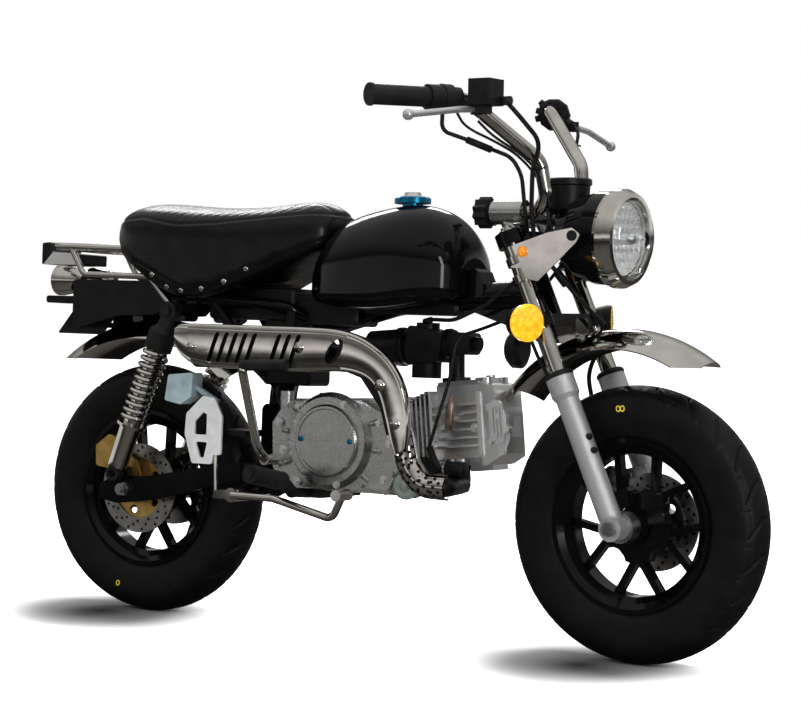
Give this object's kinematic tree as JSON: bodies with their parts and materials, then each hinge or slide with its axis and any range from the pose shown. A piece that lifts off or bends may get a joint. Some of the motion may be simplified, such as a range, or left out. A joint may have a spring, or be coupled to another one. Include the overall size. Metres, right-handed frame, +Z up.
{
  "type": "minibike",
  "caption": "Small-wheeled motorcycle with padded seat, teardrop tank, horizontal engine, folding handlebars and side stand.",
  "frame": {"origin": "middle of the bounding box on the ground, the machine leaning on its side stand", "axes": "+X forward, +Y to the left, +Z up"},
  "size_m": [1.3752, 0.641, 0.8966],
  "materials": {
    "tyre_rubber": "moulded road tyre rubber",
    "gloss_black": "deep gloss black paint",
    "satin_black": "satin black plastic",
    "chrome": "bright chrome plate",
    "cast_alloy": "silver painted cast alloy",
    "bright_alloy": "polished alloy",
    "steel": "ground steel",
    "gold": "gold anodised metal",
    "seat_vinyl": "glossy black vinyl",
    "blue_anodised": "blue anodised alloy",
    "clear_lens": "clear faceted lens",
    "amber_lens": "amber lens",
    "red_lens": "red lens",
    "milky": "milky translucent plastic",
    "rubber": "black rubber",
    "white_paint": "white painted aluminium"
  },
  "bodies": {
    "chassis": {"brake_reservoir": "milky", "carburettor": "satin_black", "clutch_cable": "rubber", "clutch_cover": "cast_alloy", "crankcase": "cast_alloy", "cylinder": "cast_alloy", "cylinder_head": "bright_alloy", "drive_chain": "steel", "exhaust": "satin_black", "foot_levers": "chrome", "footpegs": "rubber", "frame": "gloss_black", "fuel_cap": "blue_anodised", "fuel_tank": "gloss_black", "guard_plate": "white_paint", "heat_shield": "chrome", "horn": "satin_black", "rear_axle": "steel", "rear_caliper": "gold", "rear_fender": "chrome", "rear_indicators": "chrome", "rear_rack": "chrome", "seat": "seat_vinyl", "shock_absorbers": "chrome", "swing_arm": "gloss_black", "tail_box": "satin_black", "tail_light": "red_lens", "throttle_cable": "rubber"},
    "side_stand": {"side_stand": "gloss_black"},
    "rear_wheel": {"rear_tyre": "tyre_rubber", "rear_wheel": "gloss_black", "rear_disc": "steel", "rear_sprocket": "steel"},
    "steering": {"fork_tubes": "chrome", "fork_legs": "cast_alloy", "front_axle": "steel", "fork_bridges": "gloss_black", "bar_holders": "cast_alloy", "headlight_shell": "gloss_black", "headlight_ring": "chrome", "headlight_lens": "clear_lens", "headlight_stays": "chrome", "speedometer": "satin_black", "front_fender": "chrome", "front_indicators": "amber_lens", "front_caliper": "cast_alloy", "speedo_cable": "rubber", "brake_hose": "rubber"},
    "front_wheel": {"front_tyre": "tyre_rubber", "front_wheel": "gloss_black", "front_disc": "steel"},
    "handlebar_right": {"grip_right": "rubber", "handlebar_right": "chrome", "lever_right": "bright_alloy"},
    "handlebar_left": {"grip_left": "rubber", "handlebar_left": "chrome", "lever_left": "bright_alloy"}
  },
  "joints": [
    {"name": "rear_wheel_spin", "type": "hinge", "parent": "chassis", "child": "rear_wheel", "pos_m": [-0.44759, -0.03381, 0.21473], "axis": [0, 0.9974, -0.0715], "continuous": true},
    {"name": "front_wheel_spin", "type": "hinge", "parent": "steering", "child": "front_wheel", "pos_m": [0.47294, -0.03596, 0.21485], "axis": [0.0653, 0.997, -0.0423], "continuous": true},
    {"name": "steering_turn", "type": "hinge", "parent": "chassis", "child": "steering", "pos_m": [0.44561, -0.03469, 0.20256], "axis": [-0.4067, 0.0653, 0.9112], "range_deg": [-35, 44], "deforming": ["throttle_cable", "clutch_cable"]},
    {"name": "handlebar_right_fold", "type": "hinge", "parent": "steering", "child": "handlebar_right", "pos_m": [0.24877, -0.05611, 0.69393], "axis": [0.9979, -0.0652, 0.0037], "range_deg": [0, 85], "deforming": ["brake_hose", "throttle_cable"]},
    {"name": "handlebar_left_fold", "type": "hinge", "parent": "steering", "child": "handlebar_left", "pos_m": [0.25595, 0.05356, 0.68927], "axis": [-0.9979, 0.0652, -0.0037], "range_deg": [0, 85], "deforming": ["clutch_cable"]},
    {"name": "side_stand_fold", "type": "hinge", "parent": "chassis", "child": "side_stand", "pos_m": [-0.41559, 0.07177, 0.20516], "axis": [0.0273, -0.9875, -0.1554], "range_deg": [0, 100]}
  ]
}
